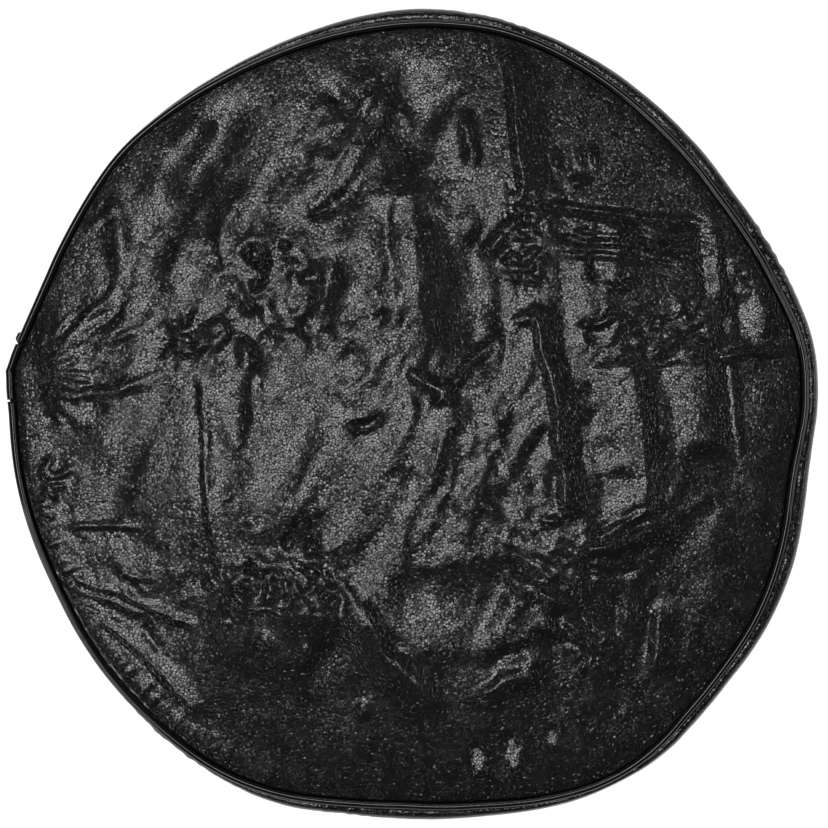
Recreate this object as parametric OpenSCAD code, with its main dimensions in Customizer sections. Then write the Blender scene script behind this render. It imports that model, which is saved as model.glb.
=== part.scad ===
// Spare tyre cover for a 27 inch tyre, lying empty on its back with its face up.
// A face panel and a side band, both of vinyl on a knit backing, are sewn together over a
// beaded welt. The empty band folds flat under the face, and its far edge is the mouth,
// which is gathered on an elastic inside a casing.
// The origin is on the floor under the middle of the cover, and +Z is up.

/* [Face] */
// Diameter of the tyre that the cover fits
tyre_d = 686; // [620:1:760]
// Height of the face panel's outer side above the floor
face_z = 19.5; // [17:0.5:26]

/* [Vinyl] */
// Thickness of the vinyl
vinyl_t = 0.6; // [0.5:0.05:0.8]
// Thickness of the knit backing
backing_t = 0.4; // [0.3:0.05:0.5]

/* [Welt] */
// Diameter of the welt's round bead
bead_d = 6; // [5:0.5:7]
// Width of the welt's sewn flange
flange_w = 11; // [8:1:14]
// Thickness of the welt's flange
flange_t = 0.5; // [0.4:0.05:0.6]
// Bearing of the middle of the splice that closes the welt
splice_at = 174; // [150:1:200]
// Angle that the splice covers
splice_angle = 8; // [4:1:12]

/* [Band] */
// Width of the seam allowance along the band's upper edge
allowance_w = 14; // [10:1:18]
// Width of the rounded fold where the band turns under
fold_w = 9; // [7:1:12]
// Bearing of the lap that joins the ends of the band
lap_at = 169; // [150:1:200]
// Width of the lap
lap_w = 10; // [8:1:20]
// How far the loose corner of the lap stands out
ear_l = 5; // [2:1:10]

/* [Hem] */
// Diameter of the mouth, with the elastic relaxed
mouth_d = 356; // [300:1:420]
// Width of the hem casing
casing_w = 12; // [11:0.5:16]
// Height of the gathered hem casing
casing_h = 9; // [7:0.5:12]
// Width of the casing's edge where it is sewn onto the band
casing_edge = 5; // [4:1:8]
// Width of the elastic
elastic_w = 10; // [8:0.5:10]
// Thickness of the elastic
elastic_t = 1.2; // [0.8:0.1:1.6]
// Length over which the elastic's ends overlap
elastic_lap = 25; // [15:1:40]

/* [Thread] */
// Diameter of the sewing thread
thread_d = 0.5; // [0.4:0.1:0.8]

/* [Hidden] */

gap = 0.3;                      // between the pieces that move with the face and the others
skin_t = vinyl_t + backing_t;
bead_r = bead_d / 2;
bead_rise = 1.1;                // from the face's outer side up to the middle of the bead
bead_z = face_z + bead_rise;
bead_sides = 10;
flange_z = face_z - skin_t - flange_t;
taut_r = tyre_d / 2 + bead_r;   // the middle of the bead with a tyre in the cover
seam_inset = bead_r + 1.5;      // from the middle of the bead in to the seam
band_top = bead_z - bead_r - gap;
mouth_r = mouth_d / 2;
hem_r = mouth_r + casing_w;
round_fn = 180;

station = 4;                    // degrees from one section of the rim to the next
bearings = [0 : station : 360 - station];
splice_gap = 0.25;              // degrees of daylight at each end of the splice

// How the rim of the empty cover lies. Each row has a bearing, how far the welt is pulled in
// from its taut circle, and how far the band's fold stands out past the middle of the bead.
rim = [
    [0, 5, 12], [10, 2, 12], [20, 12, 14], [30, 18, 14], [36, 20, 14], [50, 17, 14],
    [60, 12, 13], [70, 6, 11], [78, 3, 11], [90, 5, 14], [100, 8, 12], [110, 10, 9],
    [120, 10, 7], [130, 7, 5], [138, 4, 4], [150, 7, 2], [160, 6, 1], [166, 2, 1],
    [174, -9, 1], [180, -4, 1], [190, -3, 2], [200, -1, 1], [206, 0, 1], [220, -4, 2],
    [230, -6, 6], [242, -9, 6], [250, -6, 10], [260, 2, 11], [268, 5, 13], [280, 0, 11],
    [290, -10, 9], [298, -16, 7], [306, -14, 10], [312, -7, 12], [320, -3, 12],
    [330, -1, 14], [340, 5, 15], [350, 12, 15], [355, 10, 13], [360, 5, 12]
];
pull_rows = [for (row = rim) [row[0], row[1]]];
reach_rows = [for (row = rim) [row[0], row[2]]];
blur = 2.5;                     // degrees each side over which the rows are evened out

function turn(b) = b - 360 * floor(b / 360);
function eased(b, rows) =
    (lookup(turn(b - blur), rows) + 2 * lookup(turn(b), rows) + lookup(turn(b + blur), rows)) / 4;
function bead_at(b) = taut_r - eased(b, pull_rows);
function fold_at(b) = bead_at(b) + eased(b, reach_rows);
function reversed(list) = [for (i = [len(list) - 1 : -1 : 0]) list[i]];
function on_bearing(b, line) = [for (p = line) [p[0] * cos(b), p[0] * sin(b), p[1]]];
function ribbon(b, one_side, other_side) = on_bearing(b, concat(one_side, reversed(other_side)));

// The side of the band at a depth below its outer surface: shoulder, middle and foot,
// each as [distance from the middle of the cover, height].
function wall_line(b, depth) = [
    [fold_at(b) - 1.5 - depth, 0.82 * band_top - depth / 2],
    [fold_at(b) - depth, 0.45 * band_top],
    [fold_at(b) - 2.5 - 0.8 * depth, 0.12 * band_top + 0.7 * depth]
];
// The whole band from its sewn edge down to where it lies flat on the floor.
function band_line(b, depth) = concat(
    [[bead_at(b) - allowance_w, band_top - depth], [bead_at(b) - 1 - depth / 2, band_top - depth]],
    wall_line(b, depth),
    [[fold_at(b) - fold_w, depth]]
);
// The bead with its flange, as one extrusion that follows the rim.
function welt_line(b) = let (
    root = bead_z - flange_z,
    from = asin(-root / bead_r) - 2 * (90 - asin(root / bead_r)),
    to = 180 + asin((root - flange_t) / bead_r)
) concat(
    [[bead_at(b) - bead_r - flange_w, flange_z]],
    [for (i = [0 : bead_sides]) let (a = from + i * (to - from) / bead_sides)
        [bead_at(b) + bead_r * cos(a), bead_z + bead_r * sin(a)]],
    [[bead_at(b) - bead_r - flange_w, flange_z + flange_t]]
);

// The ends of a welt: its flange and its bead. The ends of a strip of the wall, in two halves.
welt_caps = [[0, 1, bead_sides + 1, bead_sides + 2], [for (j = [1 : bead_sides + 1]) j]];
wall_caps = [[0, 1, 4, 5], [1, 2, 3, 4]];

// A solid through closed sections with the same number of points. With no caps it is a ring,
// and caps are otherwise the faces that close an end, as places in the section.
// Sections that run clockwise are turned inside out.
module swept(sections, caps = [], clockwise = false) {
    n = len(sections[0]);
    count = len(sections);
    last = caps == [] ? count - 1 : count - 2;
    sides = [for (i = [0 : last], j = [0 : n - 1])
        let (a = i * n, b = ((i + 1) % count) * n, k = (j + 1) % n)
        each [[a + j, b + k, b + j], [a + j, a + k, b + k]]];
    ends = [for (cap = caps) each [reversed(cap), [for (j = cap) (count - 1) * n + j]]];
    faces = concat(sides, ends);
    polyhedron(
        points = [for (s = sections) each s],
        faces = clockwise ? [for (f = faces) reversed(f)] : faces,
        convexity = 10
    );
}

module bead_outline(inset)
    polygon([for (b = bearings) (bead_at(b) - inset) * [cos(b), sin(b)]]);

module fold_outline(inset)
    polygon([for (b = bearings) (fold_at(b) - inset) * [cos(b), sin(b)]]);

module face_panel()
    color("#1b1b1d")
    translate([0, 0, face_z - vinyl_t])
    linear_extrude(vinyl_t)
    bead_outline(bead_r + gap);

module face_backing()
    color("#8c8c88")
    translate([0, 0, face_z - skin_t])
    linear_extrude(backing_t)
    bead_outline(bead_r + 2 * gap);

module welt_bead() {
    from = splice_at + splice_angle / 2 + splice_gap;
    span = 360 - splice_angle - 2 * splice_gap;
    steps = round(span / station);
    color("#101011")
    swept([for (i = [0 : steps]) let (b = from + i * span / steps) on_bearing(b, welt_line(b))], welt_caps);
}

module welt_splice() {
    steps = 4;
    color("#141415")
    swept([for (i = [0 : steps]) let (b = splice_at + splice_angle * (i / steps - 0.5))
        on_bearing(b, welt_line(b))], welt_caps);
}

// The seam through the face panel and the welt's flange.
module seam_thread()
    color("#0c0c0d")
    translate([0, 0, flange_z])
    linear_extrude(face_z - flange_z)
    difference() {
        bead_outline(seam_inset);
        bead_outline(seam_inset + thread_d);
    }

module side_band()
    color("#1b1b1d")
    swept([for (b = bearings) ribbon(b, band_line(b, vinyl_t), band_line(b, 0))]);

// Its sections run the other way, so that its facets meet those of the vinyl exactly.
module side_band_backing()
    color("#8c8c88")
    swept([for (b = bearings) ribbon(b, band_line(b, vinyl_t), band_line(b, skin_t))], clockwise = true);

// The end of the band, lapped over its start. One loose corner stands out past the welt.
module band_lap() {
    half = lap_w / 2 / taut_r * 180 / PI;
    color("#1e1b19") {
        swept([for (b = [lap_at - half, lap_at, lap_at + half])
            ribbon(b, wall_line(b, 0), wall_line(b, -vinyl_t))], wall_caps);
        rotate([0, 0, lap_at])
        translate([fold_at(lap_at) + vinyl_t / 2, -lap_w / 2, band_top / 2])
        cube([ear_l, lap_w, 2 * vinyl_t]);
    }
}

module lap_thread() {
    half = thread_d / 2 / taut_r * 180 / PI;
    color("#0c0c0d")
    swept([for (b = [lap_at - half, lap_at + half])
        ribbon(b, wall_line(b, -vinyl_t), wall_line(b, -vinyl_t - thread_d))], wall_caps);
}

module flat_return()
    difference() {
        fold_outline(fold_w);
        circle(r = hem_r, $fn = round_fn);
    }

module band_return()
    color("#1b1b1d")
    linear_extrude(vinyl_t)
    flat_return();

module band_return_backing()
    color("#8c8c88")
    translate([0, 0, vinyl_t])
    linear_extrude(backing_t)
    flat_return();

// A tube of vinyl round the elastic, with one edge laid on the band and sewn down.
module hem_casing()
    color("#1b1b1d")
    rotate_extrude($fn = round_fn) {
        difference() {
            translate([mouth_r, 0])
            square([casing_w, casing_h]);
            translate([mouth_r + vinyl_t, vinyl_t])
            square([casing_w - 2 * vinyl_t, casing_h - 2 * vinyl_t]);
        }
        translate([hem_r - vinyl_t, skin_t])
        square([casing_edge + vinyl_t, vinyl_t]);
    }

elastic_r = mouth_r + (casing_w - elastic_w) / 2;
elastic_z = casing_h / 2 - elastic_t / 2;
elastic_lap_angle = elastic_lap / mouth_r * 180 / PI;

module elastic_section()
    translate([elastic_r, 0])
    square([elastic_w, elastic_t]);

module hem_elastic()
    color("#dcdcd6") {
        translate([0, 0, elastic_z])
        rotate_extrude($fn = round_fn)
        elastic_section();
        translate([0, 0, elastic_z + elastic_t])
        rotate_extrude(angle = elastic_lap_angle, $fn = round_fn)
        elastic_section();
    }

// Rows of stitches across the overlap of the elastic's ends.
module elastic_tack() {
    margin = 1;
    color("#f0f0ea")
    for (row = [0.2 : 0.2 : 0.8])
        rotate([0, 0, row * elastic_lap_angle])
        translate([elastic_r + margin, 0, elastic_z + 2 * elastic_t])
        rotate([0, 90, 0])
        cylinder(d = thread_d, h = elastic_w - 2 * margin, $fn = 16);
}

// The seam through the band and the edge of the casing.
module hem_thread()
    color("#0c0c0d")
    rotate_extrude($fn = round_fn)
    translate([hem_r + casing_edge / 2, 0])
    square([thread_d, skin_t + vinyl_t]);

face_panel();
face_backing();
welt_bead();
welt_splice();
seam_thread();
side_band();
side_band_backing();
band_lap();
lap_thread();
band_return();
band_return_backing();
hem_casing();
hem_elastic();
elastic_tack();
hem_thread();
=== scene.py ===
"""The looks of a spare tyre cover that lies empty, face up: its creased vinyl face, glossy welt,
pleated band and gathered mouth. Lengths are in millimetres until a mesh is made, and the
frame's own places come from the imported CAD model."""
import math

import bpy
import numpy as np
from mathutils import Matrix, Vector


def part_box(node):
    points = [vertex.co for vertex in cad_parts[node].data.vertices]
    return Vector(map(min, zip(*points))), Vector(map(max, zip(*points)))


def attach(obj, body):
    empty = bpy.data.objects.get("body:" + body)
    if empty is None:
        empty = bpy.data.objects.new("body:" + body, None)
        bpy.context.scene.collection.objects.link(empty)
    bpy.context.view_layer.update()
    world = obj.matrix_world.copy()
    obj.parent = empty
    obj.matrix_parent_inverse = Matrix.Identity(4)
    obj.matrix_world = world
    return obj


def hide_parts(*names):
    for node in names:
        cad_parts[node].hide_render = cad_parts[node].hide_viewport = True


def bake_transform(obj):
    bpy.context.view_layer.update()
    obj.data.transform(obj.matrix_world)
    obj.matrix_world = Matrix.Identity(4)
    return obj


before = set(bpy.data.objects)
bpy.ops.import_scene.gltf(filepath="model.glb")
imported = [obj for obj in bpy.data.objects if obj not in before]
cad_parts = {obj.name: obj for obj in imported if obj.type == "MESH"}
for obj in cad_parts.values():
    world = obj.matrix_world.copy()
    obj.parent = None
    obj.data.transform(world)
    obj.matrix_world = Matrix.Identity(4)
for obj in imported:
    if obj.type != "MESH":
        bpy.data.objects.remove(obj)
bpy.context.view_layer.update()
MM = 0.001

# ---------------------------------------------------------------- places taken from the CAD model


def cad_points(node):
    """The corners of a CAD node's mesh, in millimetres."""
    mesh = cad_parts[node].data
    return np.array([v.co for v in mesh.vertices], float) / MM


def cad_box(node):
    """A CAD node's lowest and highest corners, in millimetres."""
    low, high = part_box(node)
    return np.array(low) / MM, np.array(high) / MM


def ring_of(points, station=4):
    """The furthest point on each bearing where the CAD rim has a section, as radii."""
    bearing = np.degrees(np.arctan2(points[:, 1], points[:, 0])) % 360
    radius = np.hypot(points[:, 0], points[:, 1])
    place = np.round(bearing / station).astype(int) % (360 // station)
    return np.array([radius[place == i].max() for i in range(360 // station)])


def reach_of(node):
    """How far each point of a CAD node is from the upright through the cover's middle."""
    points = cad_points(node)
    return np.hypot(points[:, 0], points[:, 1])


FACE_GAP = 0.3  # between the face's edge and the bead
VINYL_T = 0.6
BACKING_T = 0.4
BOND = 0.03  # gap between the vinyl and its knit backing
BEAD_R = 3.0
FLANGE_W = 11
FLANGE_T = 0.5
THREAD_D = 0.5
KINK_AT = 174  # bearing of the middle of the welt's splice
LAP_AT = 169.0  # bearing of the lap of the band
MM_PER_DEGREE = 5.9  # along the welt
bead_low, bead_high = cad_box("welt_bead")
BEAD_Z = bead_high[2] - BEAD_R
FLANGE_Z = bead_low[2]
FACE_Z = cad_box("face_panel")[1][2]
BAND_TOP = cad_box("side_band")[1][2]
MOUTH_R = reach_of("hem_casing").min()
HEM_R = reach_of("band_return").min()
CASING_H = cad_box("hem_casing")[1][2]
bead_ring = ring_of(cad_points("face_panel")) + BEAD_R + FACE_GAP
fold_ring = ring_of(cad_points("side_band"))


def around(ring, bearing):
    """A ring of evenly spaced values, read at any bearing in degrees along a smooth curve."""
    n = len(ring)
    t = np.asarray(bearing) / 360 * n
    i = np.floor(t).astype(int)
    f = t - i
    a, b, c, d = (ring[(i + k) % n] for k in (-1, 0, 1, 2))
    return b + 0.5 * f * (c - a + f * (2 * a - 5 * b + 4 * c - d + f * (3 * (b - c) + d - a)))


def ease(t):
    """A smooth step from 0 to 1."""
    t = np.clip(t, 0, 1)
    return t * t * (3 - 2 * t)


def apart(bearing, centre):
    """Degrees from a bearing to a centre, signed."""
    return (np.asarray(bearing) - centre + 180) % 360 - 180


def kink(bearing):
    """How far the sharp kink in the middle of the welt's splice stands out."""
    return 2.2 * np.exp(-np.abs(apart(bearing, KINK_AT)) / 1.3)


def bead_r(bearing):
    """Distance from the cover's middle to the middle of the bead."""
    return around(bead_ring, bearing) + kink(bearing)


def fold_r(bearing):
    """Distance from the cover's middle to the band's fold, which is its outline."""
    return around(fold_ring, bearing) + kink(bearing)


# ---------------------------------------------------------------- noise


def noise(x, y, size, seed):
    """Smooth noise from about -1 to 1, with features of the given size."""
    rng = np.random.default_rng(seed)
    turn = rng.uniform(0, 2 * math.pi, (64, 64))
    gx, gy = np.cos(turn), np.sin(turn)
    u, v = x / size, y / size
    i, j = np.floor(u).astype(int), np.floor(v).astype(int)
    fu, fv = u - i, v - j
    su, sv = (f * f * f * (f * (6 * f - 15) + 10) for f in (fu, fv))

    def corner(a, b):
        p, q = (i + a) % 64, (j + b) % 64
        return gx[p, q] * (fu - a) + gy[p, q] * (fv - b)

    low = corner(0, 0) * (1 - su) + corner(1, 0) * su
    high = corner(0, 1) * (1 - su) + corner(1, 1) * su
    return 1.6 * (low * (1 - sv) + high * sv)


def ridged(x, y, size, seed):
    """Noise with narrow crests, like slack cloth."""
    return 1 - 2 * np.abs(noise(x, y, size, seed))


# ---------------------------------------------------------------- relief of the face


class Relief:
    """Heights of the face panel over a set of points, built up one wrinkle at a time."""

    def __init__(self, x, y):
        self.x = x
        self.y = y
        self.z = np.zeros_like(x)

    def near(self, points, reach):
        """Which of the face's points lie within reach of the box round some points."""
        p = np.asarray(points, float)
        low, high = p.min(0) - reach, p.max(0) + reach
        return np.flatnonzero(
            (self.x > low[0]) & (self.x < high[0]) & (self.y > low[1]) & (self.y < high[1])
        )

    def facet(self, x, y, long, wide, angle, east, north, edge=0.45):
        """A flat patch whose outward side leans to the east and the north, with creased edges."""
        where = self.near([(x, y)], 1.1 * max(long, wide))
        a = math.radians(angle)
        dx, dy = self.x[where] - x, self.y[where] - y
        u = (dx * math.cos(a) + dy * math.sin(a)) / long
        v = (dy * math.cos(a) - dx * math.sin(a)) / wide
        inside = 1 - (u**4 + v**4) ** 0.25
        self.z[where] -= np.clip(inside / edge, 0, 1) * (east * dx + north * dy)

    def crease(self, points, height, left, right, fade=0.2, sharp=0.8):
        """A ridge along a line, with a slope of its own width on each side."""
        p = np.asarray(points, float)
        step = np.diff(p, axis=0)
        length = np.hypot(*step.T)
        start = np.concatenate([[0], np.cumsum(length)])
        total = start[-1]
        where = self.near(p, max(left, right) * 1.6)
        x, y = self.x[where], self.y[where]
        best = np.full(len(where), 1e9)
        side = np.zeros(len(where))
        along = np.zeros(len(where))
        for k, (dx, dy) in enumerate(step):
            t = np.clip(((x - p[k, 0]) * dx + (y - p[k, 1]) * dy) / length[k] ** 2, 0, 1)
            ox, oy = x - p[k, 0] - t * dx, y - p[k, 1] - t * dy
            d = np.hypot(ox, oy)
            closer = d < best
            best = np.where(closer, d, best)
            side = np.where(closer, np.sign(dx * oy - dy * ox), side)
            along = np.where(closer, start[k] + t * length[k], along)
        width = np.where(side > 0, left, right)
        d = best / width
        shape = (1 - sharp) * (1 - ease(d / 1.5)) + sharp * np.clip(1 - d, 0, 1)
        share = along / total
        ends = ease(share / max(fade, 1e-6)) * ease((1 - share) / max(fade, 1e-6))
        self.z[where] += height * shape * ends

    def bump(self, x, y, height, long, wide, angle=0):
        """A soft oval bump, or a dent when the height is below zero."""
        where = self.near([(x, y)], 2.6 * max(long, wide))
        a = math.radians(angle)
        dx, dy = self.x[where] - x, self.y[where] - y
        u = (dx * math.cos(a) + dy * math.sin(a)) / long
        v = (dy * math.cos(a) - dx * math.sin(a)) / wide
        self.z[where] += height * np.exp(-((u * u + v * v) ** 1.2))

    def crinkle(self, x, y, height, long, wide, angle, size, stretch, seed):
        """A patch of crushed vinyl, with crests that run along the angle."""
        where = self.near([(x, y)], 1.5 * max(long, wide))
        a = math.radians(angle)
        dx, dy = self.x[where] - x, self.y[where] - y
        u = dx * math.cos(a) + dy * math.sin(a)
        v = dy * math.cos(a) - dx * math.sin(a)
        mask = np.exp(-(((u / long) ** 2 + (v / wide) ** 2) ** 1.5))
        bend = 0.35 * size * noise(u, v, 2.2 * size, seed + 100)
        crest = ridged(u / stretch, v + bend, size, seed)
        crest = crest + 0.4 * ridged(u / stretch, v, size / 2, seed + 1)
        self.z[where] += height * mask * crest * 0.6

    def fan(self, x, y, first, last, count, near, far, height, width, seed):
        """Wrinkles that spread from a point where the vinyl is pulled."""
        rng = np.random.default_rng(seed)
        for k in range(count):
            a = math.radians(first + (last - first) * (k + rng.uniform(0.2, 0.8)) / count)
            b = a + rng.uniform(-0.12, 0.12)
            r0 = near * rng.uniform(0.6, 1.6)
            r1 = r0 + (far - near) * rng.uniform(0.45, 1)
            middle = (r0 + r1) / 2
            points = [
                (x + r0 * math.cos(a), y + r0 * math.sin(a)),
                (x + middle * math.cos((a + b) / 2), y + middle * math.sin((a + b) / 2)),
                (x + r1 * math.cos(b), y + r1 * math.sin(b)),
            ]
            w = width * rng.uniform(0.7, 1.4)
            self.crease(points, height * rng.uniform(0.5, 1.2), w, w * rng.uniform(0.8, 1.8), 0.35)

    def gathers(self, start, end, count, length, angle, height, width, seed):
        """A row of short wrinkles side by side, all at about one angle."""
        rng = np.random.default_rng(seed)
        (ax, ay), (bx, by) = start, end
        for k in range(count):
            t = (k + rng.uniform(0.1, 0.9)) / count
            a = math.radians(angle + rng.uniform(-16, 16))
            h = length * rng.uniform(0.5, 1) / 2
            cx = ax + (bx - ax) * t + rng.uniform(-4, 4)
            cy = ay + (by - ay) * t + rng.uniform(-0.2, 0.2) * length
            bend = rng.uniform(-3, 3)
            points = [
                (cx - h * math.cos(a), cy - h * math.sin(a)),
                (cx + bend, cy + bend),
                (cx + h * math.cos(a), cy + h * math.sin(a)),
            ]
            w = width * rng.uniform(0.7, 1.3)
            self.crease(points, height * rng.uniform(0.6, 1.2), w, w * 1.4, 0.4)


def press_wrinkles(s):
    """The wrinkles of the face, placed one by one. A crease is given by its line, its height and the
    widths of its left-hand and right-hand slopes."""
    # The long creases that were pressed in while the cover was packed.
    s.crease([(-188, 44), (-185, -5), (-183, -55), (-177, -105), (-168, -145)], 0.8, 9, 3, 0.15)
    s.crease([(74, 322), (86, 297), (88, 251), (94, 211), (98, 186)], 2.8, 24, 6, 0.1)
    s.crease([(102, 100), (107, 80), (113, 46), (124, 8), (124, -23), (129, -49), (134, -96)],
             3.0, 20, 4, 0.1)
    s.crease([(188, 62), (193, 30), (202, -15), (205, -98)], 2.9, 12, 40, 0.15)
    s.crease([(250, 60), (261, 12), (266, -40)], 2.9, 14, 36, 0.2)
    s.crease([(272, 60), (278, 10), (284, -40)], 0.9, 6, 3, 0.3)
    s.crease([(-172, -158), (-114, -175), (-84, -175), (-60, -190)], 3.2, 15, 60, 0.2)
    s.crease([(-50, -158), (-33, -192), (-26, -210), (6, -238), (30, -262)], 2.8, 12, 26, 0.2)
    s.crease([(57, 133), (85, 166), (104, 178)], 2.2, 8, 10, 0.25)
    s.crease([(85, 154), (101, 158)], 1.2, 5, 5, 0.4)

    # Where the welt's splice pulls the face.
    s.crease([(-336, 40), (-318, 72), (-304, 100)], 1.1, 8, 9, 0.3, 0.5)
    s.crease([(-336, 38), (-305, 66), (-280, 88), (-245, 119)], 0.9, 6, 9, 0.3)
    s.crease([(-334, 36), (-290, 62), (-246, 80)], 0.8, 6, 8, 0.3)
    s.crease([(-283, 59), (-234, 75)], 0.7, 4, 6, 0.3)
    s.crease([(-334, 33), (-300, 16), (-256, 22), (-217, 36)], 1.1, 6, 8, 0.25)
    s.crease([(-330, 46), (-322, 80), (-314, 104)], 1.4, 4, 5, 0.3)
    s.fan(-332, 34, -62, 70, 18, 12, 96, 0.65, 4, 11)
    s.crinkle(-282, 62, 0.5, 62, 42, 44, 9, 4, 61)

    # The star and the round swirl beside it.
    s.fan(-196, 64, 0, 360, 11, 2, 30, 1.4, 3.5, 12)
    s.bump(-174, 73, 2.2, 10, 8, 30)
    s.crease([(-184, 66), (-178, 62), (-170, 63), (-164, 70), (-167, 80), (-175, 83)], 1.4, 3, 4)
    s.crinkle(-190, 66, 1.0, 40, 28, 10, 10, 1.6, 62)

    # A cluster of soft dents.
    s.crease([(-147, 151), (-125, 125)], -2.2, 9, 9, 0.4)
    s.crease([(-143, 119), (-134, 105)], -1.8, 7, 7, 0.4)
    s.crease([(-152, 105), (-140, 85)], -1.8, 7, 8, 0.4)
    s.crease([(-116, 152), (-109, 145)], -1.4, 6, 6, 0.4)
    s.crease([(-101, 114), (-85, 123)], -1.6, 6, 7, 0.4)
    s.crease([(-97, 88), (-94, 62)], -1.7, 7, 8, 0.4)
    s.crease([(-67, 145), (-80, 95), (-91, 40)], -2.2, 14, 12, 0.35, 0.3)
    s.crease([(-149, 72), (-143, 28)], -1.7, 11, 10, 0.35, 0.3)
    s.crease([(-32, 92), (-21, 78)], 1.2, 5, 7, 0.4)
    s.crease([(-63, -14), (-40, -9), (-21, -2)], -1.3, 6, 7, 0.35)
    s.crease([(-96, 171), (-70, 184)], -1.2, 4, 5, 0.4)
    s.crinkle(-128, 112, 1.3, 62, 46, -48, 20, 1.7, 63)
    s.crinkle(-40, 60, 0.9, 60, 60, 60, 30, 1.5, 64)

    # The long hollow beside the middle, with its raised end.
    s.facet(28, 112, 94, 46, 98, 0.072, -0.03, 0.45)
    s.bump(30, 120, -1.4, 84, 36, 98)
    s.crease([(-9, 40), (8, 28), (28, 21), (50, 46), (73, 69)], 2.0, 5, 8, 0.15)
    s.crease([(14, 8), (26, 14), (40, 6)], 1.3, 5, 6, 0.3)
    s.bump(48, 165, 1.5, 16, 10, 60)
    s.fan(98, 182, 0, 360, 9, 2, 24, 1.4, 3.2, 13)
    s.fan(97, 126, 0, 360, 10, 3, 27, 1.5, 3.6, 14)
    s.bump(98, 84, 1.5, 8, 6, 20)
    s.crinkle(98, 154, 1.4, 50, 24, 95, 11, 1.6, 65)

    # The right of the face.
    s.crease([(111, 157), (150, 150), (200, 149), (251, 140)], -1.5, 4, 5, 0.2)
    s.crease([(118, 141), (170, 138), (240, 130)], -1.1, 3, 4, 0.25)
    s.crease([(103, 187), (150, 178), (210, 170), (268, 165)], -1.7, 6, 7, 0.2)
    s.crinkle(188, 152, 0.8, 88, 22, -5, 8, 6, 66)
    s.facet(168, 141, 30, 16, 84, -0.115, -0.01)
    s.crease([(163, 112), (178, 110), (196, 120)], 1.6, 4, 5, 0.25)
    s.facet(258, 134, 36, 13, 96, -0.15, -0.01)
    s.facet(296, 92, 38, 28, 70, -0.11, 0, 0.6)
    s.facet(278, 118, 22, 9, 125, -0.05, 0.02)
    s.crease([(127, 212), (124, 232)], 1.5, 5, 4, 0.4)
    s.crease([(147, 214), (144, 234)], 1.5, 5, 4, 0.4)
    s.crease([(160, 212), (156, 234)], 1.5, 5, 4, 0.4)
    s.crease([(131, 197), (156, 208)], 1.5, 5, 5, 0.4)
    s.crease([(141, 78), (160, 79), (168, 84), (175, 96)], 1.8, 5, 6, 0.25)
    s.facet(168, 76, 20, 14, 60, -0.115, 0.015)
    s.crease([(203, 49), (238, 71)], 1.8, 5, 7, 0.3)
    s.crease([(233, 49), (264, 66)], 1.8, 5, 7, 0.3)
    s.crease([(262, 49), (300, 54), (334, 56)], 2.0, 5, 6, 0.2)
    s.crease([(318, 82), (330, 70)], 1.5, 4, 5, 0.35)
    s.facet(273, 78, 11, 8, 80, -0.155, 0.015)
    s.facet(213, 80, 7, 5, 70, -0.13, 0.01)
    s.crinkle(212, 62, 1.0, 66, 32, 24, 12, 2.6, 67)

    # The lower right, where folds spread from one corner.
    s.crease([(136, -125), (180, -112), (224, -94)], 1.9, 5, 7, 0.2)
    s.crease([(140, -120), (180, -98), (216, -80)], 1.5, 5, 6, 0.25)
    s.crease([(133, -135), (198, -140)], -1.6, 5, 6, 0.25)
    s.facet(106, -149, 35, 8, -38, -0.095, 0.11)
    s.crease([(78, -132), (104, -152), (132, -174)], 1.6, 6, 8, 0.25)
    s.crease([(107, -180), (136, -196)], 2.2, 7, 8, 0.3)
    s.crease([(140, -164), (162, -199)], -2.0, 6, 7, 0.3)
    s.crease([(125, -175), (165, -204)], 2.0, 6, 7, 0.3)
    s.crease([(109, -88), (118, -93), (130, -90)], 1.7, 4, 5, 0.3)
    s.fan(154, -211, 0, 360, 10, 3, 32, 1.6, 4, 15)
    s.fan(136, -125, -75, 35, 12, 8, 88, 1.3, 4, 18)
    s.crease([(52, -253), (76, -234), (120, -226)], 2.4, 9, 14, 0.25)
    s.facet(50, -176, 74, 44, 0, -0.045, 0.07, 0.9)
    s.facet(92, -214, 30, 14, 20, -0.08, 0.13)
    s.crease([(214, -160), (209, -235)], 2.0, 20, 8, 0.3)
    s.bump(186, -176, 1.5, 14, 8, 90)
    s.facet(56, -302, 17, 7, 100, -0.06, 0.13)
    s.facet(86, -296, 22, 8, 96, -0.07, 0.14)
    s.facet(121, -284, 12, 5, 108, -0.08, 0.13)
    s.crinkle(132, -156, 1.5, 62, 40, -42, 13, 2.4, 68)
    s.crinkle(184, -104, 1.0, 58, 24, 22, 9, 4, 69)

    # The lower left, where the panel is gathered along the welt.
    s.crease([(-332, -85), (-312, -91)], 1.8, 4, 5, 0.3)
    s.crease([(-306, -99), (-265, -97), (-234, -101)], 0.9, 5, 3, 0.2, 1)
    s.crease([(-304, -139), (-276, -152), (-239, -164), (-222, -174), (-189, -187)],
             1.1, 8, 4, 0.1, 1)
    s.crease([(-297, -154), (-278, -159), (-247, -171), (-234, -175)], 0.9, 6, 3, 0.15, 1)
    s.crease([(-278, -177), (-247, -200), (-222, -226), (-199, -253), (-189, -270)],
             1.35, 14, 4, 0.12, 1)
    s.crease([(-282, -187), (-265, -208), (-249, -229), (-236, -247), (-210, -272)],
             1.15, 12, 4, 0.12, 1)
    s.crease([(-262, -139), (-243, -142), (-221, -145)], 0.7, 4, 3, 0.3, 1)
    s.fan(-331, -63, -80, 60, 8, 6, 38, 1.5, 3.6, 16)
    s.gathers((-322, -118), (-290, -178), 9, 26, -34, 1.4, 4, 17)
    s.crinkle(-262, -168, 0.5, 92, 44, -46, 15, 3, 70)

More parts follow.
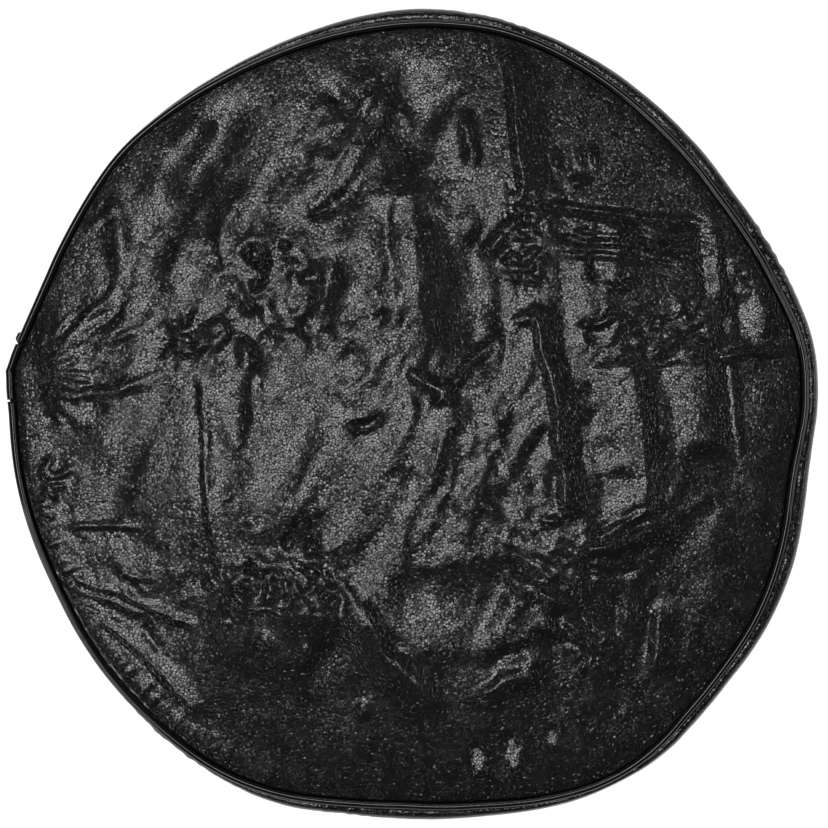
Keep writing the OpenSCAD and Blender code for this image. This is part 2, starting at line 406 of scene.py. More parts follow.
    # Short gathers above the smooth part at the bottom.
    s.crease([(-144, -126), (-134, -157)], -1.9, 5, 6, 0.35)
    s.crease([(-124, -139), (-132, -169)], -1.7, 5, 6, 0.35)
    s.crease([(-104, -98), (-111, -122)], -1.7, 5, 6, 0.35)
    s.crease([(-84, -106), (-94, -126)], -1.7, 5, 6, 0.35)
    s.crease([(-78, -126), (-117, -175)], -2.0, 6, 8, 0.3)
    s.crease([(-66, -154), (-77, -182)], 2.1, 6, 8, 0.3)
    s.bump(-97, -158, 1.7, 14, 9, 120)
    s.bump(-52, -178, 1.9, 24, 14, 110)
    s.crease([(-182, -174), (-159, -185)], 1.4, 4, 5, 0.35)
    s.crease([(-137, -189), (-124, -207)], 1.2, 8, 8, 0.4)
    s.crease([(-95, -200), (-92, -224)], 1.2, 8, 8, 0.4)
    s.crease([(-47, -248), (-42, -268)], 1.3, 9, 9, 0.4)
    s.gathers((-175, -148), (-60, -150), 13, 46, -66, 1.5, 4, 19)
    s.crinkle(-116, -148, 1.5, 62, 26, -8, 12, 1.5, 71)

    # The top, with broad soft valleys.
    s.crease([(8, 316), (4, 250), (2, 190)], -2.4, 34, 30, 0.4, 0.1)
    s.crease([(43, 270), (53, 208)], 1.6, 8, 10, 0.3)
    s.crease([(-93, 169), (-42, 196)], -1.2, 9, 9, 0.4, 0.3)
    s.crease([(-84, 292), (-42, 250)], -1.2, 12, 10, 0.4, 0.3)
    s.crease([(-141, 292), (-188, 212), (-236, 132)], -2.2, 20, 22, 0.35, 0.2)
    s.bump(-213, 175, 1.8, 36, 15, 100)
    s.crease([(-149, 208), (-173, 136)], 1.6, 12, 14, 0.35, 0.3)
    s.bump(-259, 158, 1.5, 32, 9, 95)
    s.bump(-200, 252, 1.9, 36, 20, 130)
    s.crease([(-291, 155), (-257, 190)], 1.9, 6, 7, 0.25)
    s.crease([(-288, 168), (-264, 212)], 1.7, 5, 6, 0.25)
    s.crinkle(-60, 236, 1.0, 80, 60, 60, 34, 1.4, 72)
    s.crinkle(60, -60, 1.2, 90, 80, 75, 30, 1.6, 73)


def taut(x, y):
    """How flat the panel is pulled, from 0 to 1: most at the upper right and along the bottom."""
    right = np.exp(-((((x - 205) / 150) ** 2 + ((y - 200) / 150) ** 2) ** 2))
    bottom = np.exp(-((((x + 30) / 190) ** 2 + ((y + 265) / 75) ** 2) ** 2))
    return np.maximum(right, bottom)


def face_height(x, y, inward):
    """How high the face's outer side lies, from its place and its distance in from its edge."""
    warp_x = x + 22 * noise(x, y, 120, 3)
    warp_y = y + 22 * noise(x + 500, y, 120, 4)
    lie = math.radians(68)  # which way the soft folds in the middle run
    along = warp_x * math.cos(lie) + warp_y * math.sin(lie)
    across = warp_y * math.cos(lie) - warp_x * math.sin(lie)
    slack = ease(inward / 90)
    sag = 1.7 * slack + 1.2 * ease(inward / 250)
    broad = 1.2 * noise(warp_x, warp_y, 150, 21) + 1.35 * noise(along / 2.2, across, 46, 22)
    broad = broad + 0.45 * ridged(along / 1.8, across, 34, 24)
    fine = 0.16 * ridged(along / 1.6, across, 18, 31) * ease(0.6 + noise(x, y, 80, 33))
    s = Relief(
        x + 1.8 * noise(x, y, 24, 5) + 0.5 * noise(x, y, 9, 6),
        y + 1.8 * noise(x + 300, y, 24, 7) + 0.5 * noise(x + 300, y, 9, 8),
    )
    press_wrinkles(s)
    bearing = np.degrees(np.arctan2(y, x)) % 360
    free = ease((inward - 3) / 26)
    pulled = taut(x, y)
    slack = slack * (1 - 0.75 * pulled)
    sag = sag * (1 - 0.5 * pulled)
    puckers = rim_puckers(bearing) * ease(inward / 5) * (1 - ease((inward - 6) / 26))
    return FACE_Z - sag + (broad + fine) * slack + s.z * free + puckers


def rim_puckers(bearing):
    """Small gathers where the face is sewn to the welt, strongest at the lower left."""
    lower_left = ease(1 - np.abs(apart(bearing, 212)) / 46)
    right = ease(1 - np.abs(apart(bearing, 25)) / 30)
    strong = lower_left + 0.35 * right
    along = bearing * MM_PER_DEGREE
    wave = noise(along, along * 0 + 3.3, 13, 41) + 0.6 * noise(along, along * 0 + 9.1, 6, 42)
    return 1.4 * strong + (0.22 + strong) * np.clip(wave + 0.25, 0, 1.2)


# ---------------------------------------------------------------- meshes


def piece(name, points, faces, skin):
    """A smooth mesh from points in millimetres."""
    mesh = bpy.data.meshes.new(name)
    mesh.from_pydata((np.asarray(points) * MM).tolist(), [], faces)
    mesh.polygons.foreach_set("use_smooth", [True] * len(mesh.polygons))
    mesh.materials.append(skin)
    made = bpy.data.objects.new(name, mesh)
    bpy.context.scene.collection.objects.link(made)
    return made


def disc_grid(n):
    """A square grid pressed into a disc: its points, its quads and its rim, anticlockwise."""
    t = np.linspace(-1, 1, n + 1)
    u, v = np.meshgrid(t, t, indexing="ij")
    at = np.arange((n + 1) ** 2).reshape(n + 1, n + 1)
    quads = np.stack([at[:-1, :-1], at[1:, :-1], at[1:, 1:], at[:-1, 1:]], -1).reshape(-1, 4)
    rim = np.concatenate([at[:-1, 0], at[-1, :-1], at[:0:-1, -1], at[0, :0:-1]])
    return u * np.sqrt(1 - v * v / 2), v * np.sqrt(1 - u * u / 2), quads, rim


def lowest_near(z, reach):
    """Each height replaced by the lowest one near it, so that a coarse sheet stays below."""
    for axis in (0, 1):
        moved = [np.roll(z, k, axis) for k in range(-reach, reach + 1)]
        z = np.min(moved, axis=0)
    return z


FACE_CELLS = 270
COARSER = 3  # cells of the vinyl's upper side to one cell of the sheets below it
ROUND_R = 335  # the grid is a true circle of this radius inwards, and follows the bead at its rim


def face_skins(vinyl, knit):
    """The face panel, and the knit backing against its underside."""
    u, v, quads, rim = disc_grid(FACE_CELLS)
    share = np.hypot(u, v)
    edge = bead_r(np.degrees(np.arctan2(v, u)) % 360) - BEAD_R - FACE_GAP
    reach = ROUND_R + (edge - ROUND_R) * share**3
    x, y = u * reach, v * reach
    inward = np.maximum(edge - share * reach, 0)
    z = face_height(x.ravel(), y.ravel(), inward.ravel()).reshape(x.shape)
    top = np.stack([x, y, z], -1)

    low = lowest_near(z, COARSER)[::COARSER, ::COARSER]
    _, _, coarse_quads, coarse_rim = disc_grid(FACE_CELLS // COARSER)
    at_rim = np.zeros(low.shape, bool)
    at_rim[[0, -1], :] = True
    at_rim[:, [0, -1]] = True
    low[at_rim] = FACE_Z
    under = top[::COARSER, ::COARSER].copy()
    under[..., 2] = low - VINYL_T

    first = top.reshape(-1, 3)
    second = under.reshape(-1, 3)
    base = len(first)
    faces = quads.tolist() + (coarse_quads[:, ::-1] + base).tolist()
    count = len(coarse_rim)
    for k in range(count):
        # Three cells of the upper rim meet one of the lower rim.
        a, b, c, d = (int(rim[(COARSER * k + i) % len(rim)]) for i in range(4))
        e, f = int(coarse_rim[k]) + base, int(coarse_rim[(k + 1) % count]) + base
        faces += [[b, a, e], [c, b, e, f], [d, c, f]]
    face = piece("face_skin", np.concatenate([first, second]), faces, vinyl)

    # The knit backing lies against the underside of the vinyl, and ends a little inside its edge.
    trim = np.where(at_rim, FACE_GAP, 0)
    out = np.maximum(np.hypot(under[..., 0], under[..., 1]), 1)
    upper = under * np.stack([1 - trim / out, 1 - trim / out, np.ones_like(out)], -1)
    upper[..., 2] -= BOND
    lower = upper - np.array([0, 0, BACKING_T])
    base = upper.shape[0] * upper.shape[1]
    faces = coarse_quads.tolist() + (coarse_quads[:, ::-1] + base).tolist()
    for k in range(count):
        a, b = int(coarse_rim[k]), int(coarse_rim[(k + 1) % count])
        faces.append([b, a, a + base, b + base])
    both = np.concatenate([upper.reshape(-1, 3), lower.reshape(-1, 3)])
    return face, piece("face_backing_skin", both, faces, knit)


def turned(bearing, line):
    """Sections of [distance from the middle, height] set on their bearings."""
    a = np.radians(bearing)[:, None]
    return np.stack([line[..., 0] * np.cos(a), line[..., 0] * np.sin(a), line[..., 1]], -1)


def sweep(name, sections, skin, closed=True):
    """A skin through closed sections with the same number of points."""
    count, n = sections.shape[:2]
    at = np.arange(count * n).reshape(count, n)
    after = np.roll(at, -1, 0) if closed else at[1:]
    here = at if closed else at[:-1]
    side = np.stack([here, after, np.roll(after, -1, 1), np.roll(here, -1, 1)], -1).reshape(-1, 4)
    faces = side.tolist()
    if not closed:
        faces += [at[0].tolist(), at[-1][::-1].tolist()]
    return piece(name, sections.reshape(-1, 3), faces, skin)


def smooth_line(points, rows):
    """Rows along a smooth curve through the points of each section."""
    k = points.shape[1]
    t = np.linspace(0, k - 1, rows)
    i = np.minimum(t.astype(int), k - 2)
    f = (t - i)[None, :, None]
    a, b, c, d = (points[:, np.clip(i + s, 0, k - 1)] for s in (-1, 0, 1, 2))
    return b + 0.5 * f * (c - a + f * (2 * a - 5 * b + 4 * c - d + f * (3 * (b - c) + d - a)))


def offset(line, depth):
    """The line moved to its inner side by a depth."""
    t = np.gradient(line, axis=1)
    t /= np.linalg.norm(t, axis=-1, keepdims=True) + 1e-9
    return line + depth * np.stack([t[..., 1], -t[..., 0]], -1)


def strip(name, bearing, line, depth, thick, skin, every):
    """A strip of cloth that runs round the cover, with its outer side on the line at a depth."""
    outer = offset(line, depth)
    inner = offset(line, depth + thick)
    rows = np.unique(np.append(np.arange(0, line.shape[1], every), line.shape[1] - 1))
    loop = np.concatenate([outer, inner[:, rows[::-1]]], 1)
    return sweep(name, turned(bearing, loop), skin)


# ---------------------------------------------------------------- welt, band and hem


def welt_line(bearing):
    """The bead with its flange, whose cord makes the round part."""
    bead = bead_r(bearing)[:, None]
    root = BEAD_Z - FLANGE_Z
    start = math.asin(-root / BEAD_R) - 2 * (math.pi / 2 - math.asin(root / BEAD_R))
    end = math.pi + math.asin((root - FLANGE_T) / BEAD_R)
    a = np.linspace(start, end, 19)[None, :]
    round_part = np.stack([bead + BEAD_R * np.cos(a), BEAD_Z + BEAD_R * np.sin(a) + 0 * bead], -1)
    inner_end = bead - BEAD_R - FLANGE_W
    under = np.stack([inner_end, inner_end * 0 + FLANGE_Z], -1)
    over = np.stack([inner_end, inner_end * 0 + FLANGE_Z + FLANGE_T], -1)
    return np.concatenate([under, round_part, over], 1)


def band_ripple(bearing):
    """Pleats of the band, which is longer than the welt that it is sewn to."""
    along = np.asarray(bearing) * MM_PER_DEGREE
    flat = along * 0
    soft = noise(along, flat + 2.2, 46, 51) + 0.5 * noise(along, flat + 7.7, 17, 52)
    tight = noise(along, flat + 5.1, 7.5, 53)
    pleated = (
        ease(1.5 - np.abs(apart(bearing, 232)) / 12)
        + 0.9 * ease(1.5 - np.abs(apart(bearing, 79)) / 6)
        + 0.9 * ease(1.5 - np.abs(apart(bearing, 25)) / 6)
        + 0.6 * ease(1.5 - np.abs(apart(bearing, 142)) / 6)
        + 0.6 * ease(1.5 - np.abs(apart(bearing, 260)) / 4)
    )
    return 0.45 * soft + np.clip(pleated, 0, 1) * 1.5 * tight + 0.12 * tight


BAND_ROWS = 46
WALL_ROWS = 30  # the rows before the band lies flat under the cover


def band_line(bearing):
    """The band from its sewn edge, over its shoulder and down its side, then in to the hem."""
    bead, fold = bead_r(bearing), fold_r(bearing)
    w = fold - bead
    shown = ease(w / 9)
    ripple = band_ripple(bearing)
    top = BAND_TOP
    wall = [
        (bead - 14, top + 0 * w),
        (bead - 6, top + 0 * w),
        (bead + 0.2, top - 0.15 + 0 * w),
        (bead + 0.24 * w + 0.6, top - 0.7 * shown - 0.2 + 0.2 * ripple),
        (bead + 0.58 * w + 0.4, top - 0.1 * shown - 0.5 + 0.6 * ripple * shown),
        (fold - 0.16 * w - 0.2 + 0.3 * ripple, top - 2.2 + 0.4 * ripple),
        (fold - 0.1 + 0.6 * ripple, 0.62 * top + 0 * w),
        (fold - 0.2 + 0.9 * ripple, 0.36 * top + 0 * w),
        (fold - 1.4 + 0.7 * ripple, 0.14 * top + 0 * w),
        (fold - 4.2, 0.35 + 0 * w),
        (fold - 9, 0.12 + 0 * w),
    ]
    wall = smooth_line(np.stack([np.stack(p, -1) for p in wall], 1), WALL_ROWS)
    t = np.linspace(0, 1, BAND_ROWS - WALL_ROWS + 1)[None, 1:]
    r = (fold - 9)[:, None] + (HEM_R + 0.4 - fold + 9)[:, None] * t
    a = np.asarray(bearing)[:, None]
    wave = noise(a * 3.3 + 3 * t, t * 14 + 0 * a, 24, 61)
    wave = wave + 0.5 * noise(a * 3.3, t * 30 + 0 * a, 10, 62)
    z = 0.12 + 0.25 * t + (0.3 + 2.9 * t**1.6) * np.clip(0.42 + 0.6 * wave, 0, 1.2)
    return np.concatenate([wall, np.stack([r, z], -1)], 1)


def casing_line(bearing):
    """The hem's casing: out of the band, round the elastic, and out again to its sewn edge."""
    a = np.asarray(bearing)
    mid_r, mid_z = (MOUTH_R + HEM_R) / 2, CASING_H / 2 + 0.1
    gather = noise(a * 3.2, a * 0 + 4.4, 9, 71) + 0.5 * noise(a * 3.2, a * 0 + 8.8, 4.5, 72)
    tall = np.clip(3.6 + 1.1 * gather, 2.7, CASING_H / 2 - 0.1)[:, None]
    wide = np.clip(5.9 + 0.25 * gather, 5.7, 6.0)[:, None]
    turn = np.linspace(-0.2 * math.pi, -1.8 * math.pi, 26)[None, :]
    c, s = np.cos(turn), np.sin(turn)
    r = mid_r + wide * np.sign(c) * np.abs(c) ** 0.7
    z = mid_z + tall * np.sign(s) * np.abs(s) ** 0.8
    tube = np.stack([r, z], -1)
    edge = [(HEM_R + 0.6, 2.3 + 0 * a), (HEM_R + 2.4, 1.9 + 0 * a), (HEM_R + 5, 1.8 + 0 * a)]
    flap = np.stack([np.stack([r0 + 0 * a, z0], -1) for r0, z0 in edge], 1)
    flap[..., 1] += 2.6 * np.clip(0.42 + 0.3 * gather, 0, 1)[:, None]
    return np.concatenate([tube, flap], 1)


def stitches(name, starts, ends, skin):
    """Threads with round ends, each from its start to its end."""
    rings, sides = 6, 6
    starts, ends = np.asarray(starts, float), np.asarray(ends, float)
    way = ends - starts
    length = np.linalg.norm(way, axis=1, keepdims=True)
    way /= length
    helper = np.where(np.abs(way[:, 2:]) > 0.8, [[1.0, 0, 0]], [[0, 0, 1.0]])
    across = np.cross(way, helper)
    across /= np.linalg.norm(across, axis=1, keepdims=True)
    up = np.cross(way, across)
    t = np.array([0, 0.06, 0.25, 0.75, 0.94, 1])
    width = np.array([0.25, 0.8, 1, 1, 0.8, 0.25]) * THREAD_D / 2
    a = np.linspace(0, 2 * math.pi, sides, endpoint=False)
    spot = starts[:, None, None, :] + (way * length)[:, None, None, :] * t[None, :, None, None]
    ring = (
        across[:, None, None, :] * np.cos(a)[None, None, :, None]
        + up[:, None, None, :] * np.sin(a)[None, None, :, None]
    ) * width[None, :, None, None]
    points = (spot + ring).reshape(-1, 3)
    faces = []
    for k in range(len(starts)):
        base = k * rings * sides
        for i in range(rings - 1):
            for j in range(sides):
                p, q = base + i * sides + j, base + i * sides + (j + 1) % sides
                faces.append([p, q, q + sides, p + sides])
        faces.append([base + j for j in range(sides)][::-1])
        faces.append([base + (rings - 1) * sides + j for j in range(sides)])
    return piece(name, points, faces, skin)


def stitches_round(name, radius, z, pitch, skin):
    """A row of stitches round the cover, at a radius and height for each bearing."""
    count = int(2 * math.pi * np.mean(radius(np.arange(360.0))) / pitch)
    a = np.arange(count) * 360 / count
    b = a + 0.72 * 360 / count
    ends = []
    for bearing in (a, b):
        r, h = radius(bearing), z(bearing)
        angle = np.radians(bearing)
        ends.append(np.stack([r * np.cos(angle), r * np.sin(angle), h], -1))
    return stitches(name, *ends, skin)


# ---------------------------------------------------------------- materials


class Graph:
    """A material's nodes, made one at a time with their inputs."""

    def __init__(self, name):
        self.material = bpy.data.materials.new(name)
        self.material.use_nodes = True
        self.tree = self.material.node_tree
        self.tree.nodes.clear()
        self.place = self.node("TexCoord").outputs["Object"]

    def node(self, kind, inputs=None, **settings):
        """A node, with each input linked to a socket or set to a value."""
        made = self.tree.nodes.new("ShaderNode" + kind)
        for key, value in settings.items():
            setattr(made, key, value)
        for key, value in (inputs or {}).items():
            if isinstance(value, bpy.types.NodeSocket):
                self.tree.links.new(value, made.inputs[key])
            else:
                made.inputs[key].default_value = value
        return made

    def math(self, operation, a, b=0.0):
        return self.node("Math", {0: a, 1: b}, operation=operation).outputs[0]

    def vector(self, operation, a, b):
        return self.node("VectorMath", {0: a, 1: b}, operation=operation)

    def spread(self, value, low, high, to_low, to_high):
        """The value, mapped from one range to another."""
        made = self.node("MapRange", {"Value": value, "From Min": low, "From Max": high})
        made.inputs["To Min"].default_value = to_low
        made.inputs["To Max"].default_value = to_high
        return made.outputs["Result"]

    def noise(self, scale, detail=2.0, place=None):
        inputs = {"Vector": place or self.place, "Scale": scale, "Detail": detail}
        return self.node("TexNoise", inputs).outputs["Fac"]

    def blend(self, share, first, second):
        """A mix of two colours."""
        made = self.node("Mix", {"Factor": share}, data_type="RGBA")
        made.inputs[6].default_value = (*first, 1)
        made.inputs[7].default_value = (*second, 1)
        return made.outputs[2]

    def finish(self, colour, rough, bump_height, bump_depth, **fixed):
        """Ends the material in a shader. A fixed value is the same all over the surface."""
        bump = self.node("Bump", {"Strength": 1.0, "Distance": bump_depth, "Height": bump_height})
        inputs = {"Normal": bump.outputs[0], "Base Color": colour, "Roughness": rough}
        shader = self.node("BsdfPrincipled", inputs)
        for key, value in fixed.items():
            shader.inputs[key.replace("_", " ")].default_value = value
        self.node("OutputMaterial", {"Surface": shader.outputs[0]})
        return self.material


PEBBLES = 430.0  # of the leather grain, along a metre


def grained_vinyl(name, dark, light, rough, depth):
    """Black vinyl pressed with a leather grain: polished pebbles with creases between them, whose
    colour is painted darker as painted shade.
    """
    g = Graph(name)
    warp = g.node("TexNoise", {"Vector": g.place, "Scale": 260.0, "Detail": 1.0}).outputs["Color"]
    moved = g.node("VectorMath", {0: warp}, operation="SCALE")
    moved.inputs["Scale"].default_value = 0.0012
    place = g.vector("ADD", g.place, moved.outputs[0]).outputs[0]
    edge = g.node("TexVoronoi", {"Vector": place, "Scale": PEBBLES}, feature="DISTANCE_TO_EDGE")
    cell = g.node("TexVoronoi", {"Vector": place, "Scale": PEBBLES}, feature="F1")
    pebble = g.spread(edge.outputs["Distance"], 0.0, 0.1, 0.0, 1.0)
    # Each pebble leans its own way, so that some of them glint and their neighbours don't.
    off = g.vector("SUBTRACT", place, cell.outputs["Position"]).outputs[0]
    lean = g.vector("SUBTRACT", cell.outputs["Color"], (0.5, 0.5, 0.5)).outputs[0]
    leaning = g.vector("DOT_PRODUCT", off, lean).outputs["Value"]
    from_middle = cell.outputs["Distance"]
    dome = g.math("MULTIPLY", g.math("MULTIPLY", from_middle, from_middle), -0.8)
    height = g.math("ADD", dome, g.math("MULTIPLY", pebble, 1.3))
    height = g.math("ADD", height, g.math("MULTIPLY", leaning, 900.0))
    height = g.math("ADD", height, g.math("MULTIPLY", g.noise(2600.0, 2.0, place), 0.04))
    height = g.math("ADD", height, g.math("MULTIPLY", g.noise(170.0, 2.0), 0.4))
    worn = g.spread(g.noise(9.0, 4.0), 0.35, 0.7, 0.0, 1.0)
    # Painted shade: the colour stays at the darker one in the grain's creases, and turns lighter only
    # on pebble tops where the noise marks rubbed wear.
    colour = g.blend(g.math("MULTIPLY", worn, pebble), dark, light)
    polish = g.spread(g.noise(70.0, 3.0), 0.3, 0.7, rough - 0.04, rough + 0.06)
    return g.finish(colour, polish, height, depth, Specular_IOR_Level=0.5)


def smooth_vinyl(name, dark, light, rough):
    """The smooth glossy vinyl of the welt, very slightly uneven."""
    g = Graph(name)
    height = g.math("ADD", g.math("MULTIPLY", g.noise(220.0, 2.0), 0.8), g.noise(1400.0, 2.0))
    colour = g.blend(g.spread(g.noise(30.0, 3.0), 0.35, 0.7, 0.0, 1.0), dark, light)
    sheen = g.spread(g.noise(90.0, 3.0), 0.3, 0.7, rough - 0.04, rough + 0.05)
    return g.finish(colour, sheen, height, 0.000015, Specular_IOR_Level=0.4)


def knit(name, dark, light):
    """The knit backing, in fine ribs of loops."""
    g = Graph(name)
    ribs = g.node("TexWave", {"Vector": g.place, "Scale": 190.0, "Distortion": 1.2, "Detail": 2.0})
    loops = g.node(
        "TexWave",
        {"Vector": g.place, "Scale": 240.0, "Distortion": 1.6, "Detail": 2.0},
        bands_direction="Y",
    )
    height = g.math("MULTIPLY", ribs.outputs["Fac"], loops.outputs["Fac"])
    height = g.math("ADD", height, g.math("MULTIPLY", g.noise(1500.0, 3.0), 0.5))
    colour = g.blend(g.spread(height, 0.1, 0.9, 0.0, 1.0), dark, light)
    return g.finish(colour, g.spread(height, 0.0, 1.0, 0.95, 0.85), height, 0.00025, Sheen_Weight=0.3)


def braid(name, dark, light):
    """Flat braided elastic: ribs across its width and fine threads between them."""
    g = Graph(name)
    ribs = g.node(
        "TexWave",
        {"Vector": g.place, "Scale": 330.0, "Distortion": 0.8, "Detail": 2.0},
        wave_type="RINGS",
        rings_direction="Z",
    )
    threads = g.node("TexVoronoi", {"Vector": g.place, "Scale": 900.0}, feature="F1")
    between = g.math("MULTIPLY", threads.outputs["Distance"], 0.5)
    height = g.math("SUBTRACT", ribs.outputs["Fac"], between)
    colour = g.blend(g.spread(height, -0.2, 0.9, 0.0, 1.0), dark, light)
    return g.finish(colour, g.spread(height, -0.2, 1.0, 0.8, 0.6), height, 0.0003, Sheen_Weight=0.2)


def thread(name, dark, light):
    """Twisted sewing thread."""
    g = Graph(name)
    wave = {"Vector": g.place, "Scale": 1400.0, "Distortion": 2.0}
    twist = g.node("TexWave", wave, bands_direction="DIAGONAL").outputs["Fac"]
    return g.finish(g.blend(twist, dark, light), g.spread(twist, 0.0, 1.0, 0.65, 0.5), twist, 0.0001)


BLACK = (0.003, 0.003, 0.0033)
# The lighter colour is rubbed wear on the pebble tops; the grain's creases keep the darker colour as
# painted shade.
RUBBED_AND_UNSHADED_BLACK = (0.006, 0.006, 0.0058)
face_vinyl = grained_vinyl("face_vinyl", BLACK, RUBBED_AND_UNSHADED_BLACK, 0.16, 0.00006)
band_vinyl = grained_vinyl("band_vinyl", BLACK, RUBBED_AND_UNSHADED_BLACK, 0.16, 0.00008)
lap_vinyl = grained_vinyl("lap_vinyl", (0.016, 0.012, 0.010), (0.024, 0.018, 0.014), 0.4, 0.0001)
welt_vinyl = smooth_vinyl("welt_vinyl", (0.005, 0.005, 0.0055), (0.008, 0.008, 0.008), 0.09)
knit_cloth = knit("knit_cloth", (0.16, 0.16, 0.155), (0.34, 0.34, 0.33))
elastic_braid = braid("elastic_braid", (0.5, 0.5, 0.48), (0.8, 0.8, 0.78))
black_thread = thread("black_thread", (0.008, 0.008, 0.008), (0.03, 0.03, 0.03))
white_thread = thread("white_thread", (0.6, 0.6, 0.58), (0.85, 0.85, 0.83))

# ---------------------------------------------------------------- the pieces


def placed(made, node_or_nodes, body=None):
    """Rides the piece on its body, or, for a piece that reaches from the flat band up to the face,
    leaves it on no body with its place baked into its mesh; either way it hides the CAD parts that
    the piece stands for.
    """
    if body:
        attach(made, body)
    else:
        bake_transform(made)
    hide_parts(*node_or_nodes)


face, face_knit = face_skins(face_vinyl, knit_cloth)
placed(face, ["face_panel"], "face")
placed(face_knit, ["face_backing"], "face")

# The welt stops short of its splice at both ends.
SPLICE = 4.0  # degrees from the kink to the splice's end
SPLICE_GAP = 0.25
main_bearings = np.linspace(KINK_AT + SPLICE + SPLICE_GAP, KINK_AT - SPLICE - SPLICE_GAP + 360, 1401)
main_welt = turned(main_bearings, welt_line(main_bearings % 360))
bead = sweep("welt_cord", main_welt, welt_vinyl, closed=False)
placed(bead, ["welt_bead"], "face")
splice_bearings = np.linspace(KINK_AT - SPLICE, KINK_AT + SPLICE, 41)
short_welt = turned(splice_bearings, welt_line(splice_bearings))
splice = sweep("welt_splice_cord", short_welt, welt_vinyl, closed=False)
placed(splice, ["welt_splice"], "face")

all_round = np.arange(1440) / 4
band = strip("band_skin", all_round, band_line(all_round), 0, VINYL_T, band_vinyl, every=3)
placed(band, ["side_band", "band_return"])
half_round = np.arange(720) / 2
knit_line = band_line(half_round)[:, ::2]
band_knit = strip(
    "band_backing_skin", half_round, knit_line, VINYL_T + BOND, BACKING_T, knit_cloth, every=1
)
placed(band_knit, ["side_band_backing", "band_return_backing"])

casing = strip("hem_casing_skin", all_round, casing_line(all_round), 0, VINYL_T, band_vinyl, every=1)
placed(casing, ["hem_casing"], "back")

# The end of the band, lapped over its start, with its loose corner.
lap_bearings = LAP_AT + np.linspace(-0.83, 0.83, 13)
lap_line = band_line(lap_bearings)[:, 8:24]  # the rows of the wall, clear of the floor
lap_loop = np.concatenate([offset(lap_line, -0.75), offset(lap_line, -0.12)[:, ::-1]], 1)
lap = sweep("band_lap_skin", turned(lap_bearings, lap_loop), lap_vinyl, closed=False)
placed(lap, ["band_lap"])

# The corner stands out of the fold, and narrows along it: e is how far out, w how far along.
side = np.linspace(-5, 10, 21)
out = np.linspace(-0.6, 5.4, 10)
e, w = np.meshgrid(out, side, indexing="ij")
ear_bearing = LAP_AT + np.degrees(w * (1 - 0.25 * ease((e - 2.5) / 3)) / fold_r(LAP_AT))
ear_r = fold_r(ear_bearing) + e * (1 - 0.9 * ease((w - 1) / 9))
ear_z = 0.5 * BAND_TOP + 0.5 + 0.35 * np.sin(w * 0.7) * ease(e / 5) + 0.02 * e * e
ear_angle = np.radians(ear_bearing)
ear_top = np.stack([ear_r * np.cos(ear_angle), ear_r * np.sin(ear_angle), ear_z], -1)
ear_loop = np.concatenate([ear_top, (ear_top - [0, 0, 0.9])[:, ::-1]], 1)
ear = sweep("band_ear_skin", ear_loop[::-1], lap_vinyl, closed=False)
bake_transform(ear)

# Its stitches run down the lap, each from one side of the seam to the other.
seam_sides = np.array([LAP_AT - 0.3, LAP_AT + 0.3])
down = turned(seam_sides, offset(band_line(seam_sides)[:, 9:23:2], -0.95))
lap_stitches = stitches("lap_stitches", down[0, :-1], down[1, 1:], black_thread)
placed(lap_stitches, ["lap_thread"])

seam = stitches_round(
    "seam_stitches", lambda b: bead_r(b) - 5.2, lambda b: FLANGE_Z - 0.12 + 0 * b, 4.5, black_thread
)
placed(seam, ["seam_thread"], "face")


def hem_z(bearing):
    """The height of the band's inner edge, just below its outer side."""
    return band_line(bearing)[:, -1, 1] - 0.05


hem = stitches_round("hem_stitches", lambda b: HEM_R + 2.5 + 0 * b, hem_z, 3.5, black_thread)
placed(hem, ["hem_thread"], "back")

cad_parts["hem_elastic"].material_slots[0].material = elastic_braid
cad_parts["elastic_tack"].material_slots[0].material = white_thread

# ---------------------------------------------------------------- studio


def studio_floor():
    """A white floor that glows, so that it stays pure white round the cover."""
    g = Graph("studio_white")
    g.tree.nodes.clear()
    shader = g.node("BsdfPrincipled", {"Base Color": (0.9, 0.9, 0.9, 1), "Roughness": 0.9})
    shader.inputs["Emission Color"].default_value = (1, 1, 1, 1)
    shader.inputs["Emission Strength"].default_value = 0.8
    g.node("OutputMaterial", {"Surface": shader.outputs[0]})
    size = 4000
    corners = [(-size, -size, 0), (size, -size, 0), (size, size, 0), (-size, size, 0)]
    floor = piece("studio_floor", np.array(corners, float), [[0, 1, 2, 3]], g.material)
    floor.location.z = -0.02 * MM


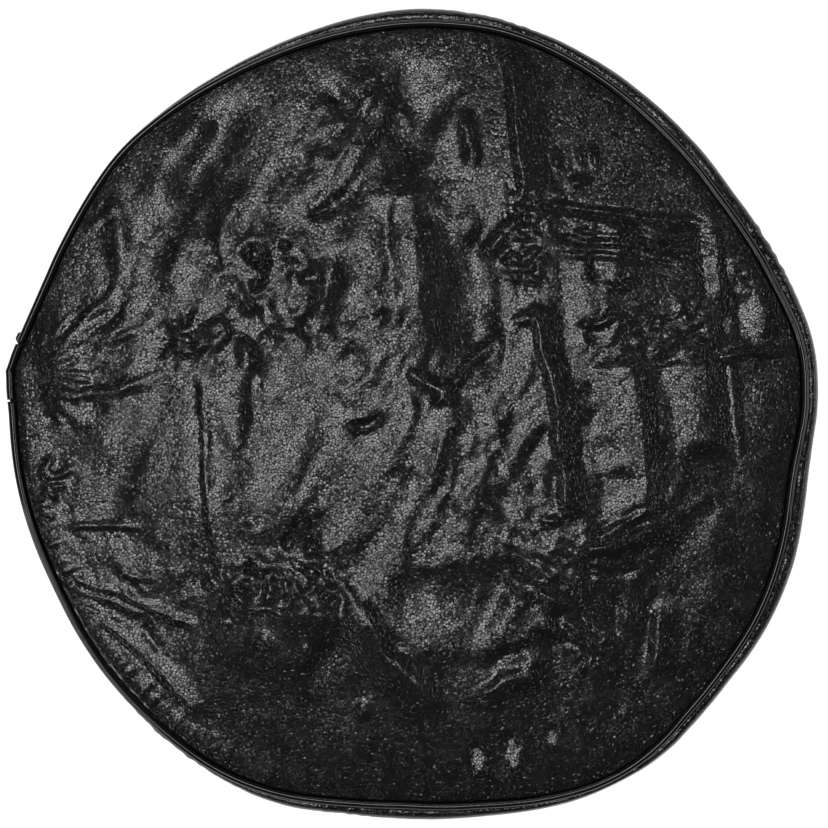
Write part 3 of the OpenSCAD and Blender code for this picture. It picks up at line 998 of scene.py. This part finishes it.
def lamp(name, place, aim, size, strength):
    """A soft box whose brightness is given as radiance."""
    data = bpy.data.lights.new(name, "AREA")
    data.shape = "RECTANGLE"
    data.size, data.size_y = size
    data.energy = strength * math.pi * size[0] * size[1]
    made = bpy.data.objects.new(name, data)
    made.location = place
    way = Vector(np.array(place) - np.array(aim))
    made.rotation_euler = way.to_track_quat("Z", "Y").to_euler()
    made.visible_camera = False
    bpy.context.scene.collection.objects.link(made)


def surroundings():
    """Dim overhead and brighter low down, like a white room with a dark ceiling."""
    world = bpy.data.worlds.new("room")
    bpy.context.scene.world = world
    world.use_nodes = True
    tree = world.node_tree
    tree.nodes.clear()
    place = tree.nodes.new("ShaderNodeTexCoord")
    parts = tree.nodes.new("ShaderNodeSeparateXYZ")
    level = tree.nodes.new("ShaderNodeMapRange")
    level.inputs["From Min"].default_value = 0.05
    level.inputs["From Max"].default_value = 0.45
    level.inputs["To Min"].default_value = 0.3
    level.inputs["To Max"].default_value = 0.07
    back = tree.nodes.new("ShaderNodeBackground")
    out = tree.nodes.new("ShaderNodeOutputWorld")
    tree.links.new(place.outputs["Generated"], parts.inputs[0])
    tree.links.new(parts.outputs["Z"], level.inputs["Value"])
    tree.links.new(level.outputs[0], back.inputs["Strength"])
    tree.links.new(back.outputs[0], out.inputs["Surface"])


studio_floor()
surroundings()
lamp("soft_box", (-0.11, 0.09, 2.3), (-0.11, 0.09, 0), (0.52, 0.5), 10.0)

# Low boxes that only steep folds and the round welt can catch.
low_boxes = [("right_low", 8, 13.0), ("left_low", 212, 22.0), ("top_low", 100, 7.0)]
for box_name, box_bearing, radiance in low_boxes:
    a = math.radians(box_bearing)
    lamp(box_name, (1.9 * math.cos(a), 1.9 * math.sin(a), 1.1), (0, 0, 0), (1.2, 0.2), radiance)

# The camera looks straight down, and its view is as wide as the cover with a narrow margin.
camera_data = bpy.data.cameras.new("camera")
camera_data.sensor_width = 36
camera_data.lens = 148.6
camera_data.clip_end = 20
camera = bpy.data.objects.new("camera", camera_data)
camera.location = (0, 0, 3.0)
bpy.context.scene.collection.objects.link(camera)
bpy.context.scene.camera = camera
bpy.context.scene.view_settings.view_transform = "Standard"
